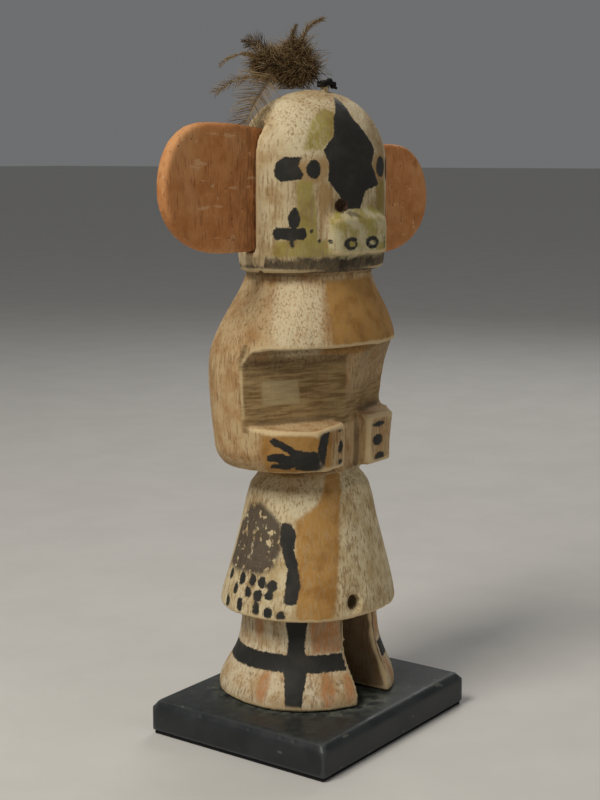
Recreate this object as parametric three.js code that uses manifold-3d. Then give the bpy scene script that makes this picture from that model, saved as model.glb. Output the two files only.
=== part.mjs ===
// A carved and painted wooden kachina doll with plate ears and a tuft of feathers, on a painted plinth.
// Millimetres, +Z up. The doll faces -Y and its own left is +X. X = 0 is the doll's axis, Y = 0 is the
// middle of the plinth, and Z = 0 is the underside of the felt.
import * as THREE from "three";
import { mergeVertices } from "three/addons/utils/BufferGeometryUtils.js";
import Module from "manifold-3d";

const wasm = await Module();
wasm.setup();

// ---------------------------------------------------------------- driving dimensions

const REST_GAP = 0.3; // between pieces that rest on or in each other
const RING_SEGMENTS = 48; // sides of every carved section

// Plinth and felt
const PLINTH_WIDTH = 115;
const PLINTH_DEPTH = 95;
const PLINTH_TOP = 15.8;
const PLINTH_CENTRE_X = -3.7; // the doll stands a little to one side of the middle
const CHAMFER_RUN = 2.4;
const CHAMFER_DROP = 3.2;
const FELT_THICKNESS = 1.2;
const FELT_INSET = 1;

// The doll's axis and the heights of its main levels above the table
const DOLL_Y = 3.9;
const SOLE_Z = PLINTH_TOP + REST_GAP;
const HEM_Z = 56.8;
const KILT_TOP_Z = 118.3;
const ARM_BOTTOM_Z = 122.3;
const ARM_TOP_Z = 141.2;
const CHEST_EDGE_Z = 175.5;
const NECK_Z = 208;
const HELMET_Z = 208.6;
const DOME_Z = 254.5;
const CROWN_Z = 286.3;

// Legs
const LEG_GAP = { left: 7.4, right: -12.3, flare: 1.4 }; // flare moves each side out towards the feet

// Kilt
const HOLE_DIAMETER = 6.9;
const HOLE_Z = 63.3;
const HOLE_BEARING = -22.6; // degrees from straight ahead, towards the doll's right
const HOLE_DEPTH = 9;

// Arms and belly. The two flat recesses meet in a ridge on the belly and end at the flanks.
const BELLY_RIDGE = { x: -3, forward: 20.5 };
const RIGHT_FLANK = { x: -47.9, forward: -2 };
const LEFT_FLANK = { x: 45.9, forward: 8 };
// Undersides of the chest over the recesses, as (outwards from the recess's back, height)
const RIGHT_SOFFIT = [
  [0, 169],
  [2.5, 174.8],
  [8, 176.4],
  [20, 176.8],
];
const LEFT_SOFFIT = [
  [0, 147],
  [1, 155],
  [2.8, 163],
  [5.2, 169],
  [8.6, 174.6],
  [20, 177.4],
];
const HAND_FORWARD = 25.6; // the right hand's flat front
const HAND_GAP = { right: -8.5, left: 12.8 };
const LEFT_HAND = { outer: 31, forward: 23.8, bottomZ: 119.4, topZ: 140.2 };

// Head, turned a little to the doll's right
const HEAD_TURN = -6;
const HEAD_FORWARD = 2;
const HEAD_HALF_WIDTH = 39;
const HEAD_HALF_DEPTH = 25.6;

// Snout, in the head's own frame
const SNOUT = { halfWidth: 19.9, front: 28.4, bottomZ: 216, topZ: 231.2 };
const SNOUT_LEDGE = { halfWidth: 12, front: 25, topZ: 236.2 }; // where its sloping top meets the head
const SNOUT_OFFSET = 1.7; // towards the doll's left

// Ears: plates let into grooves in the sides of the head
const EAR_THICKNESS = 6.4;
const EAR_ROOT = 31; // from the head's middle to the edge in the groove
const EAR_EDGE_ROUND = 1.8;
// reach is from the head's middle to the outer edge, forward the place of the plate's mid-thickness
const RIGHT_EAR = { height: 54.5, centreZ: 244.8, reach: 90, forward: -2.4 };
const LEFT_EAR = { height: 51.5, centreZ: 238.2, reach: 89.4, forward: -7 };

// Crown peg, tie and feathers
const PEG = { x: 2.2, y: -6.4, radius: 1.7, top: 289.8, bottom: 279 };
const CORD_RADIUS = 0.85;
const FEATHER_THICKNESS = 1;

// ---------------------------------------------------------------- solids

// A closed geometry through rings of equal length, lowest ring first, each anticlockwise seen from above.
function skin(rings) {
  const count = rings[0].length;
  const positions = rings.flat().flatMap((p) => [p.x, p.y, p.z]);
  const middle = (ring) =>
    ring.reduce((sum, p) => sum.add(p), new THREE.Vector3()).divideScalar(count);
  for (const end of [rings[0], rings.at(-1)]) positions.push(...middle(end).toArray());
  const index = [];
  const bottom = rings.length * count;
  const top = bottom + 1;
  for (let i = 0; i < count; i++) {
    const j = (i + 1) % count;
    index.push(bottom, j, i);
    const last = (rings.length - 1) * count;
    index.push(top, last + i, last + j);
    for (let r = 0; r + 1 < rings.length; r++) {
      const low = r * count;
      const high = low + count;
      index.push(low + i, low + j, high + j, low + i, high + j, high + i);
    }
  }
  const geometry = new THREE.BufferGeometry();
  geometry.setAttribute("position", new THREE.Float32BufferAttribute(positions, 3));
  geometry.setIndex(index);
  return geometry;
}

// A section of the carving: an oval, squared off a little where squareness is over 2.
function oval({ z, halfWidth, halfDepth, x = 0, y = 0, squareness = 2.1 }) {
  const power = 2 / squareness;
  const bulge = (value) => Math.sign(value) * Math.abs(value) ** power;
  return Array.from({ length: RING_SEGMENTS }, (_, i) => {
    const angle = (2 * Math.PI * i) / RING_SEGMENTS;
    return new THREE.Vector3(
      x + halfWidth * bulge(Math.cos(angle)),
      y + halfDepth * bulge(Math.sin(angle)),
      z,
    );
  });
}

// A carved body through named levels, smooth between them.
function carvedBody(levels, steps) {
  const read = (l) => [l.halfWidth, l.halfDepth, l.x ?? 0, l.y ?? 0];
  const track = new THREE.CubicInterpolant(
    levels.map((l) => l.z),
    levels.flatMap(read),
    4,
  );
  const low = levels[0].z;
  const high = levels.at(-1).z;
  const rings = Array.from({ length: steps + 1 }, (_, i) => {
    const z = low + ((high - low) * i) / steps;
    const [halfWidth, halfDepth, x, y] = track.evaluate(z);
    return oval({ z, halfWidth, halfDepth, x, y });
  });
  return skin(rings);
}

function toSolid(geometry) {
  const bare = geometry.index ? geometry.toNonIndexed() : geometry.clone();
  for (const name of ["normal", "uv"]) bare.deleteAttribute(name);
  const merged = mergeVertices(bare, 1e-4);
  return new wasm.Manifold(
    new wasm.Mesh({
      numProp: 3,
      vertProperties: merged.attributes.position.array,
      triVerts: new Uint32Array(merged.index.array),
    }),
  );
}

function toGeometry(solid) {
  const { numProp, vertProperties, triVerts } = solid.getMesh();
  const count = vertProperties.length / numProp;
  const positions = new Float32Array(count * 3);
  for (let i = 0; i < count; i++) {
    positions.set(vertProperties.subarray(i * numProp, i * numProp + 3), i * 3);
  }
  const geometry = new THREE.BufferGeometry();
  geometry.setAttribute("position", new THREE.BufferAttribute(positions, 3));
  geometry.setIndex(new THREE.BufferAttribute(triVerts, 1));
  geometry.computeVertexNormals();
  return geometry;
}

// A box between two corners.
function box(low, high) {
  const size = high.map((value, i) => value - low[i]);
  const geometry = new THREE.BoxGeometry(...size);
  return geometry.translate(...low.map((value, i) => value + size[i] / 2));
}

// An outline in (along, height) pushed out by width: used for cutters seen from the side.
function prism(outline, width) {
  const shape = new THREE.Shape(outline.map(([u, v]) => new THREE.Vector2(u, v)));
  const geometry = new THREE.ExtrudeGeometry(shape, { depth: width, bevelEnabled: false });
  return geometry.rotateX(Math.PI / 2).translate(0, width / 2, 0);
}

// ---------------------------------------------------------------- carved figure

function legs() {
  const levels = [
    { z: SOLE_Z, halfWidth: 41.4, halfDepth: 39.7, x: -0.7, y: 0.7 },
    { z: SOLE_Z + 2.5, halfWidth: 41.4, halfDepth: 39.7, x: -0.7, y: 0.7 },
    { z: SOLE_Z + 7, halfWidth: 40, halfDepth: 38.4, x: -0.6, y: 0.5 },
    { z: SOLE_Z + 12, halfWidth: 37.2, halfDepth: 36, x: -0.4, y: 0.2 },
    { z: SOLE_Z + 17, halfWidth: 34.6, halfDepth: 33.6 },
    { z: SOLE_Z + 23, halfWidth: 32.4, halfDepth: 31.6 },
    { z: HEM_Z + 4, halfWidth: 31.6, halfDepth: 29.4 },
  ];
  const { left, right, flare } = LEG_GAP;
  const gap = prism(
    [
      [right - flare, SOLE_Z - 2],
      [left + flare, SOLE_Z - 2],
      [left - flare, HEM_Z],
      [right, HEM_Z],
      [right, HEM_Z - 12],
    ],
    120,
  );
  return toSolid(carvedBody(levels, 13)).subtract(toSolid(gap));
}

function kilt() {
  const levels = [
    { z: HEM_Z, halfWidth: 41.9, halfDepth: 38.5, x: -0.4, y: 0.4 },
    { z: HEM_Z + 2.6, halfWidth: 41.7, halfDepth: 38.3, x: -0.4, y: 0.4 },
    { z: HEM_Z + 18, halfWidth: 37.6, halfDepth: 34.4 },
    { z: HEM_Z + 38, halfWidth: 32.2, halfDepth: 29.6 },
    { z: KILT_TOP_Z - 6, halfWidth: 27.6, halfDepth: 25.5 },
    { z: KILT_TOP_Z - 2, halfWidth: 25.2, halfDepth: 23.4 },
    { z: KILT_TOP_Z, halfWidth: 22, halfDepth: 21 },
  ];
  const bearing = THREE.MathUtils.degToRad(HOLE_BEARING);
  const hole = new THREE.CylinderGeometry(HOLE_DIAMETER / 2, HOLE_DIAMETER / 2, 2 * HOLE_DEPTH, 24)
    .translate(0, -38, 0)
    .rotateZ(bearing)
    .translate(0, 0, HOLE_Z);
  return toSolid(carvedBody(levels, 9)).subtract(toSolid(hole));
}

function torso() {
  const levels = [
    { z: ARM_BOTTOM_Z, halfWidth: 40, halfDepth: 33, y: 2.8 },
    { z: ARM_BOTTOM_Z + 5, halfWidth: 44.2, halfDepth: 35.4, y: 3.2 },
    { z: ARM_BOTTOM_Z + 14, halfWidth: 46, halfDepth: 36.2, x: 0.3, y: 3.4 },
    { z: 150, halfWidth: 47.6, halfDepth: 37.2, x: 0.6, y: 3.7 },
    { z: 163, halfWidth: 48.3, halfDepth: 37.6, x: 0.6, y: 3.7 },
    { z: 172.5, halfWidth: 47.9, halfDepth: 37.2, x: 0.6, y: 3.2 },
    { z: 181, halfWidth: 45.6, halfDepth: 35.3, x: 0.6, y: 2.2 },
    { z: 190, halfWidth: 41.2, halfDepth: 31.8, x: 0.5, y: 1.4 },
    { z: 199, halfWidth: 35.6, halfDepth: 27.4, x: 0.3, y: 0.6 },
    { z: NECK_Z + 3, halfWidth: 30, halfDepth: 23, y: 0 },
  ];
  return toSolid(carvedBody(levels, 22));
}

// One flat recess between the chest and a forearm. It is a cutter whose flat back runs from the belly ridge
// to a flank. Its profile starts at the back: out along the forearm's top, then in under the chest's edge.
function armRecess(flank, side, soffit) {
  const run = Math.abs(flank.x - BELLY_RIDGE.x);
  const fall = flank.forward - BELLY_RIDGE.forward;
  const forearmTop = [
    [0, ARM_TOP_Z + 1.8],
    [14, ARM_TOP_Z],
    [60, ARM_TOP_Z - 6],
  ];
  const underChest = [[60, soffit.at(-1)[1] + 1], ...soffit.toReversed()];
  const cutter = prism([...forearmTop, ...underChest], 2 * Math.hypot(run, fall) + 60)
    .rotateZ(-Math.PI / 2)
    .rotateZ(-side * Math.atan2(fall, run))
    .translate(BELLY_RIDGE.x, -BELLY_RIDGE.forward, 0);
  return toSolid(cutter);
}

// How far forward a recess's flat back stands at a given x.
function recessForward(x) {
  const flank = x < BELLY_RIDGE.x ? RIGHT_FLANK : LEFT_FLANK;
  const share = (x - BELLY_RIDGE.x) / (flank.x - BELLY_RIDGE.x);
  return BELLY_RIDGE.forward + share * (flank.forward - BELLY_RIDGE.forward);
}

// A block standing on a plan outline of (x, forward) points.
function block(plan, low, high) {
  const shape = new THREE.Shape(plan.map(([x, forward]) => new THREE.Vector2(x, -forward)));
  return new THREE.ExtrudeGeometry(shape, { depth: high - low, bevelEnabled: false }).translate(0, 0, low);
}

// What is cut away in front of the arms: the hands' flat fronts and the gap between them.
function handCuts() {
  const low = ARM_BOTTOM_Z - 20;
  const high = ARM_TOP_Z + 12;
  const { right, left } = HAND_GAP;
  const front = block(
    [
      [-70, 90],
      [-70, HAND_FORWARD],
      [BELLY_RIDGE.x, HAND_FORWARD],
      [BELLY_RIDGE.x, LEFT_HAND.forward],
      [70, LEFT_HAND.forward],
      [70, 90],
    ],
    low,
    high,
  );
  const gap = block(
    [
      [right, 90],
      [right, recessForward(right)],
      [BELLY_RIDGE.x, BELLY_RIDGE.forward],
      [left, recessForward(left)],
      [left, 90],
    ],
    low,
    ARM_TOP_Z + 2,
  );
  return toSolid(front).add(toSolid(gap));
}

// The left hand stands out as a square block below the recess.
function leftHand() {
  const { outer, forward, bottomZ, topZ } = LEFT_HAND;
  return toSolid(
    block(
      [
        [HAND_GAP.left, forward],
        [HAND_GAP.left, 8],
        [outer + 4, 8],
        [outer + 3, forward - 5],
        [outer, forward],
      ],
      bottomZ,
      topZ,
    ),
  );
}

// The body between the arms and the kilt. Its front carries the belly's two flats down to the kilt.
function waist() {
  const wide = HAND_GAP.left + 4;
  return toSolid(
    block(
      [
        [-wide, recessForward(-wide)],
        [-wide, -14],
        [wide, -14],
        [wide, recessForward(wide)],
        [BELLY_RIDGE.x, BELLY_RIDGE.forward],
      ],
      KILT_TOP_Z - 8,
      ARM_TOP_Z - 8,
    ),
  );
}

// Turns a solid from the head's own frame into the doll's.
function placeOnHead(geometry) {
  return geometry
    .translate(0, -HEAD_FORWARD, 0)
    .rotateZ(THREE.MathUtils.degToRad(HEAD_TURN));
}

function helmet() {
  const widths = { halfWidth: HEAD_HALF_WIDTH, halfDepth: HEAD_HALF_DEPTH };
  const rings = [
    oval({ z: HELMET_Z, halfWidth: HEAD_HALF_WIDTH - 1.2, halfDepth: HEAD_HALF_DEPTH - 0.8 }),
    oval({ z: HELMET_Z + 8, ...widths }),
    oval({ z: (HELMET_Z + DOME_Z) / 2, ...widths }),
  ];
  const domeSteps = 10;
  for (let i = 0; i < domeSteps; i++) {
    const rise = (i / domeSteps) * (Math.PI / 2);
    const shrink = Math.cos(rise) ** 0.94;
    rings.push(
      oval({
        z: DOME_Z + (CROWN_Z - DOME_Z) * Math.sin(rise),
        halfWidth: HEAD_HALF_WIDTH * shrink,
        halfDepth: HEAD_HALF_DEPTH * shrink,
      }),
    );
  }
  rings.push(oval({ z: CROWN_Z, halfWidth: 3, halfDepth: 2 }));
  return skin(rings);
}

// A block on the face. Its top slopes up to the head from all three sides.
function snout() {
  const level = ({ halfWidth, front }, z) =>
    oval({ z, x: SNOUT_OFFSET, y: -front / 2, halfWidth, halfDepth: front / 2, squareness: 4.6 });
  return skin([
    level(SNOUT, SNOUT.bottomZ),
    level(SNOUT, SNOUT.topZ),
    level(SNOUT_LEDGE, SNOUT_LEDGE.topZ),
  ]);
}

// The plate's outline in (outwards, height), corners rounded more below than above.
function earShape(ear, grow = 0) {
  const inner = EAR_ROOT - grow;
  const outer = ear.reach + grow;
  const high = ear.height / 2 + grow;
  const shape = new THREE.Shape();
  shape.moveTo(inner, -high);
  shape.lineTo(outer - 32, -high);
  shape.bezierCurveTo(outer - 14, -high + 0.6, outer - 2.5, -high + 9, outer - 0.6, -4);
  shape.bezierCurveTo(outer + 0.8, high - 20, outer - 3, high - 3, outer - 20, high - 0.8);
  shape.bezierCurveTo(outer - 26, high, outer - 34, high - 0.2, inner, high - 2.4);
  shape.closePath();
  return shape;
}

function earPlate(ear, side) {
  const geometry = new THREE.ExtrudeGeometry(earShape(ear, -EAR_EDGE_ROUND), {
    depth: EAR_THICKNESS - 2 * EAR_EDGE_ROUND,
    curveSegments: 9,
    bevelThickness: EAR_EDGE_ROUND,
    bevelSize: EAR_EDGE_ROUND,
    bevelSegments: 2,
  })
    .translate(0, 0, -EAR_THICKNESS / 2 + EAR_EDGE_ROUND)
    .rotateX(Math.PI / 2);
  if (side < 0) geometry.rotateZ(Math.PI);
  geometry.translate(0, -ear.forward, ear.centreZ);
  return placeOnHead(geometry).translate(0, DOLL_Y, 0);
}

// The groove that a plate sits in, cut into the side of the head.
function earGroove(ear, side) {
  const half = EAR_THICKNESS / 2 + REST_GAP;
  const edges = [side * (EAR_ROOT - REST_GAP), side * 60].sort((a, b) => a - b);
  const groove = box(
    [edges[0], -ear.forward - half, ear.centreZ - ear.height / 2 - REST_GAP],
    [edges[1], -ear.forward + half, ear.centreZ + ear.height / 2 + REST_GAP],
  );
  return toSolid(placeOnHead(groove));
}

function pegHole() {
  const radius = PEG.radius + REST_GAP;
  const hole = new THREE.CylinderGeometry(radius, radius, 40, 16)
    .rotateX(Math.PI / 2)
    .translate(PEG.x, PEG.y, PEG.bottom - REST_GAP + 20);
  return toSolid(hole);
}

function carvedFigure() {
  const body = torso()
    .subtract(armRecess(RIGHT_FLANK, -1, RIGHT_SOFFIT))
    .subtract(armRecess(LEFT_FLANK, 1, LEFT_SOFFIT))
    .subtract(handCuts())
    .add(leftHand());
  const head = toSolid(placeOnHead(helmet())).add(toSolid(placeOnHead(snout())));
  const whole = head
    .subtract(earGroove(RIGHT_EAR, -1))
    .subtract(earGroove(LEFT_EAR, 1))
    .subtract(pegHole())
    .add(body)
    .add(waist())
    .add(kilt())
    .add(legs());
  return toGeometry(whole).translate(0, DOLL_Y, 0);
}

// ---------------------------------------------------------------- crown peg, tie and feathers

function crownPeg() {
  return new THREE.CylinderGeometry(PEG.radius, PEG.radius, PEG.top - PEG.bottom, 12)
    .rotateX(Math.PI / 2)
    .translate(PEG.x, PEG.y + DOLL_Y, (PEG.top + PEG.bottom) / 2);
}

// Two turns of cord round the peg, with its knots.
function featherTie() {
  const ringRadius = PEG.radius + REST_GAP + CORD_RADIUS;
  const low = CROWN_Z + REST_GAP + CORD_RADIUS + 0.2;
  const turn = (z) => new THREE.TorusGeometry(ringRadius, CORD_RADIUS, 6, 16).translate(0, 0, z);
  const knot = (bearing, out, z, radius) =>
    new THREE.IcosahedronGeometry(radius, 1).translate(
      Math.cos(bearing) * out,
      Math.sin(bearing) * out,
      z,
    );
  const tie = [
    turn(low),
    turn(low + 1.5 * CORD_RADIUS),
    knot(-0.9, ringRadius + 1.1, low + 1, 1.6),
    knot(0.6, ringRadius + 1.6, low + 0.4, 1.5),
    knot(-2.4, ringRadius + 1.3, low + 1.3, 1.5),
  ]
    .map(toSolid)
    .reduce((all, piece) => all.add(piece));
  return toGeometry(tie).translate(PEG.x, PEG.y + DOLL_Y, 0);
}

// The feathers lie roughly in one upright sheet that runs from the doll's left front to its right back.
const SHEET_BEARING = THREE.MathUtils.degToRad(-54);
function inSheet(across, height, behind = 0) {
  return new THREE.Vector3(across, behind, height).applyAxisAngle(
    new THREE.Vector3(0, 0, 1),
    SHEET_BEARING,
  );
}

// A bent blade along a spine, lens-shaped in section, as wide as width and flat in the sheet.
function featherBlade({ spine, width, lean = 0.5, thickness = FEATHER_THICKNESS }) {
  const curve = new THREE.CatmullRomCurve3(spine.map((p) => inSheet(...p)));
  const sheetNormal = inSheet(0, 0, 1);
  const stations = 9;
  const rings = Array.from({ length: stations + 1 }, (_, i) => {
    const along = i / stations;
    const centre = curve.getPointAt(along);
    const tangent = curve.getTangentAt(along);
    const side = new THREE.Vector3().crossVectors(sheetNormal, tangent).normalize();
    const normal = new THREE.Vector3().crossVectors(tangent, side).normalize();
    const swell = 0.12 + 0.88 * Math.sin(Math.PI * along ** 0.75) ** 0.8;
    const half = (width / 2) * swell;
    const thick = (thickness / 2) * (0.55 + 0.45 * Math.sin(Math.PI * along));
    const section = [
      [-2 * half * (1 - lean), 0],
      [-half * (1 - lean), -thick],
      [half * lean, -thick],
      [2 * half * lean, 0],
      [half * lean, thick],
      [-half * (1 - lean), thick],
    ];
    return section.map(([s, n]) =>
      centre.clone().addScaledVector(side, s).addScaledVector(normal, n),
    );
  });
  return skin(rings).translate(0, DOLL_Y, 0);
}

// Points are (across, height, behind) in the sheet. lean is the share of the width on the blade's far side.
const FEATHERS = {
  feather_upright: {
    spine: [[-2.6, 309.2, 2], [-1.6, 312, 2.5], [1.6, 315, 3], [6, 317.6, 3]],
    width: 4.5,
  },
  feather_spike: { spine: [[-8.8, 308.6, 0], [-7.4, 311, -1.4], [-5.9, 314.6, -2.4]], width: 3.6 },
  feather_dark_plume: { spine: [[-17, 304.4, 3], [-23, 306.8, 4.5], [-29.5, 308.2, 6]], width: 8 },
  feather_wisp: {
    spine: [[-26, 300.8, -1], [-30, 301.5, -2], [-35, 300, -3], [-40, 296.6, -4]],
    width: 2.4,
  },
  feather_side: {
    spine: [[-23, 291.5, -2.5], [-29, 290.8, -5], [-35, 288.6, -7], [-41, 285.4, -9]],
    width: 8,
  },
  feather_hanging: {
    spine: [[-17.5, 290.2, -10], [-20.8, 284, -21], [-24, 278.5, -26.5], [-26.6, 272.9, -27.6]],
    width: 24,
    lean: 0.62,
  },
  feather_back: { spine: [[-8, 304, 9.6], [-13, 306, 14], [-20, 304, 19], [-26, 298, 22]], width: 7 },
};

// The matted down at the feathers' roots.
function featherDown() {
  const lumps = [
    { at: inSheet(-6.5, 295.6, 1), radii: [11.6, 8, 8.2], detail: 2 },
    { at: inSheet(-17.5, 297.6, 1), radii: [8, 6, 5.6], detail: 1 },
    { at: inSheet(-5.5, 302.6, 1), radii: [6, 5, 5.6], detail: 1 },
  ];
  const solids = lumps.map(({ at, radii, detail }) =>
    toSolid(
      new THREE.IcosahedronGeometry(1, detail)
        .scale(...radii)
        .rotateZ(SHEET_BEARING)
        .translate(at.x, at.y, at.z),
    ),
  );
  return toGeometry(solids.reduce((all, piece) => all.add(piece))).translate(0, DOLL_Y, 0);
}

// ---------------------------------------------------------------- plinth

function plinth() {
  const low = FELT_THICKNESS + REST_GAP;
  const shoulder = PLINTH_TOP - CHAMFER_DROP;
  const rectangle = (z, inset) => {
    const x = PLINTH_WIDTH / 2 - inset;
    const y = PLINTH_DEPTH / 2 - inset;
    return [
      new THREE.Vector3(-x, -y, z),
      new THREE.Vector3(x, -y, z),
      new THREE.Vector3(x, y, z),
      new THREE.Vector3(-x, y, z),
    ];
  };
  return skin([
    rectangle(low, 0),
    rectangle(shoulder, 0),
    rectangle(PLINTH_TOP, CHAMFER_RUN),
  ]).translate(PLINTH_CENTRE_X, 0, 0);
}

function felt() {
  const x = PLINTH_WIDTH / 2 - FELT_INSET;
  const y = PLINTH_DEPTH / 2 - FELT_INSET;
  return box([-x, -y, 0], [x, y, FELT_THICKNESS]).translate(PLINTH_CENTRE_X, 0, 0);
}

// ---------------------------------------------------------------- the doll

const finish = (color, roughness) =>
  new THREE.MeshStandardMaterial({ color, roughness, metalness: 0 });
const PAINTED_WOOD = finish(0x9c7a4d, 0.8);
const EAR_PAINT = finish(0xb5683a, 0.75);
const BLACK_PAINT = finish(0x1c1d1f, 0.45);
const FELT = finish(0x0d0d0e, 0.95);
const BARE_WOOD = finish(0xa98f66, 0.8);
const CORD = finish(0x14120f, 0.85);
const FEATHER = finish(0x5a4428, 0.85);

const doll = new THREE.Group();
function add(name, geometry, material) {
  const mesh = new THREE.Mesh(geometry, material.clone());
  mesh.name = name;
  doll.add(mesh);
}

add("carved_figure", carvedFigure(), PAINTED_WOOD);
add("right_ear", earPlate(RIGHT_EAR, -1), EAR_PAINT);
add("left_ear", earPlate(LEFT_EAR, 1), EAR_PAINT);
add("crown_peg", crownPeg(), BARE_WOOD);
add("feather_tie", featherTie(), CORD);
add("feather_down", featherDown(), FEATHER);
for (const [name, feather] of Object.entries(FEATHERS)) add(name, featherBlade(feather), FEATHER);
add("plinth", plinth(), BLACK_PAINT);
add("felt_pad", felt(), FELT);

export default doll;
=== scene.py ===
"""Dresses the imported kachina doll: worn earth paints on carved wood, ragged feathers, a black plinth."""
import math

import bpy
import numpy as np
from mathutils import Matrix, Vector


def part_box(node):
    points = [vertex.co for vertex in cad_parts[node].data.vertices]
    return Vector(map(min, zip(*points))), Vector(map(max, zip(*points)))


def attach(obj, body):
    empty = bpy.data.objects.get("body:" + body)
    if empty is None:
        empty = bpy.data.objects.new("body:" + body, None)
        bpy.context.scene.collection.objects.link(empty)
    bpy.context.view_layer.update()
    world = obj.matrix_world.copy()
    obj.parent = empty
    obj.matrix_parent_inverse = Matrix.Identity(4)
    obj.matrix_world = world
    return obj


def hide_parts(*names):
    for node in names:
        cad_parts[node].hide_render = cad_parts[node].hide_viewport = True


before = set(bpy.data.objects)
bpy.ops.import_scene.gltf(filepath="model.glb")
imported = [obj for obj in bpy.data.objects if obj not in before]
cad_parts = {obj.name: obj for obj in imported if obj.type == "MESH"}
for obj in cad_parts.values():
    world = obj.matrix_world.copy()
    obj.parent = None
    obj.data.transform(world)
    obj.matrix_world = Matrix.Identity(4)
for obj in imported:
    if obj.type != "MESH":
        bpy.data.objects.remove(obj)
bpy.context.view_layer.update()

MM = 0.001
scene = bpy.context.scene
rng = np.random.default_rng(7)

# ---------------------------------------------------------------- the doll's own measures, in mm

AXIS_Y = 3.9            # the doll's upright axis in the row frame
HEAD_TURN = math.radians(-6)
HEAD_FORWARD = 2.0
HEAD_A, HEAD_B = 39.0, 25.6
DOME_Z, DOME_RISE = 254.5, 31.8
HELMET_Z = 208.6
HEM_Z = 56.8
KILT_TOP_Z = 119
CHEST_Z = 176.0
ARM_TOP_Z = 141.2
EAR_FRONT_RIGHT = 0.8   # how far forward the right ear's face stands, in the head's frame
# the two flats cut between chest and forearms: (x, forward) of the ridge they meet in, and of their far ends
RIDGE, RIGHT_END, LEFT_END = (-3.0, 20.5), (-47.9, -2.0), (45.9, 8.0)
OUTSIDE = 9.0           # the distance written where a paint can't lie
FIGURE_VOXEL, EAR_VOXEL, PLINTH_VOXEL = 1.12, 0.6, 0.8


def smooth_noise(p, size, seed=0):
    """Value noise in -1..1 at points p (n, 3), with lumps of about size."""
    q = p / size + 31.7 * (seed + 1)
    cell = np.floor(q).astype(np.int64)
    t = q - cell
    t = t * t * (3 - 2 * t)
    total = np.zeros(len(p))
    for corner in range(8):
        step = np.array([corner & 1, corner >> 1 & 1, corner >> 2 & 1])
        c = cell + step
        h = (c[:, 0] * 73856093) ^ (c[:, 1] * 19349663) ^ (c[:, 2] * 83492791) ^ (seed * 2654435)
        h = (h ^ (h >> 13)) * 1274126177
        value = ((h ^ (h >> 16)) & 0xFFFF) / 32767.5 - 1
        weight = np.prod(np.where(step == 1, t, 1 - t), axis=1)
        total += value * weight
    return total


# ---------------------------------------------------------------- dense copies of the carved solids

def coords(mesh):
    co = np.empty(len(mesh.vertices) * 3)
    mesh.vertices.foreach_get("co", co)
    return co.reshape(-1, 3)


def normals(mesh):
    no = np.empty(len(mesh.vertices) * 3)
    mesh.vertices.foreach_get("normal", no)
    return no.reshape(-1, 3)


def edges_of(mesh):
    e = np.empty(len(mesh.edges) * 2, dtype=np.int64)
    mesh.edges.foreach_get("vertices", e)
    return e.reshape(-1, 2)


def relax(co, edges, rounds):
    """Each point moves half way to the mean of its neighbours, rounds times."""
    count = np.bincount(edges.ravel(), minlength=len(co))[:, None]
    for _ in range(rounds):
        total = np.zeros_like(co)
        for k in range(3):
            total[:, k] = np.bincount(edges[:, 0], co[edges[:, 1], k], len(co))
            total[:, k] += np.bincount(edges[:, 1], co[edges[:, 0], k], len(co))
        co = 0.5 * co + 0.5 * total / count
    return co


def put_attribute(mesh, name, values):
    a = mesh.attributes.new(name, "FLOAT", "POINT")
    a.data.foreach_set("value", np.asarray(values, dtype=np.float32))


def dense_copy(node, name, voxel, rounds):
    """A fine mesh of a CAD node with softened edges.

    Its attribute edge is how sharply it stands out, in mm.
    """
    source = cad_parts[node]
    ob = bpy.data.objects.new(name, source.data.copy())
    scene.collection.objects.link(ob)
    ob.matrix_world = source.matrix_world.copy()
    ob.modifiers.clear()
    mod = ob.modifiers.new("fine", "REMESH")
    mod.mode = "VOXEL"
    mod.voxel_size = voxel * MM
    bpy.context.view_layer.update()
    mesh = bpy.data.meshes.new_from_object(ob.evaluated_get(bpy.context.evaluated_depsgraph_get()))
    ob.modifiers.clear()
    ob.data = mesh
    mesh.name = name
    co = coords(mesh)
    e = edges_of(mesh)
    soft = relax(co, e, rounds)
    mesh.vertices.foreach_set("co", soft.ravel())
    mesh.update()
    n = normals(mesh)
    wide = relax(soft, e, 24)
    put_attribute(mesh, "edge", ((soft - wide) * n).sum(1) / MM)
    mesh.shade_smooth()
    return ob


def displace(ob, amounts_mm):
    mesh = ob.data
    co = coords(mesh) + normals(mesh) * (np.asarray(amounts_mm) * MM)[:, None]
    mesh.vertices.foreach_set("co", co.ravel())
    mesh.update()


def settle(ob, slot, *nodes):
    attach(ob, "root")
    if nodes:
        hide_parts(*nodes)


# ---------------------------------------------------------------- painted shapes as signed distances, in mm

def ellipse(x, y, cx, cy, rx, ry):
    k = np.hypot((x - cx) / rx, (y - cy) / ry)
    return (k - 1) * min(rx, ry)


def bar(x, y, cx, cy, hx, hy, r=0.8):
    qx = np.abs(x - cx) - hx + r
    qy = np.abs(y - cy) - hy + r
    return np.hypot(np.maximum(qx, 0), np.maximum(qy, 0)) + np.minimum(np.maximum(qx, qy), 0) - r


def polygon(x, y, points):
    pts = np.array(points, dtype=float)
    best = np.full(len(x), 1e9)
    inside = np.zeros(len(x), dtype=bool)
    for (ax, ay), (bx, by) in zip(pts, np.roll(pts, -1, axis=0)):
        ex, ey = bx - ax, by - ay
        wx, wy = x - ax, y - ay
        t = np.clip((wx * ex + wy * ey) / (ex * ex + ey * ey), 0, 1)
        best = np.minimum(best, np.hypot(wx - t * ex, wy - t * ey))
        crosses = (ay > y) != (by > y)
        with np.errstate(divide="ignore", invalid="ignore"):
            at = ax + (y - ay) * ex / (ey if ey else 1e-9)
        inside ^= crosses & (x < at)
    return np.where(inside, -best, best)


def union(*parts):
    return np.minimum.reduce(parts)


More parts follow.
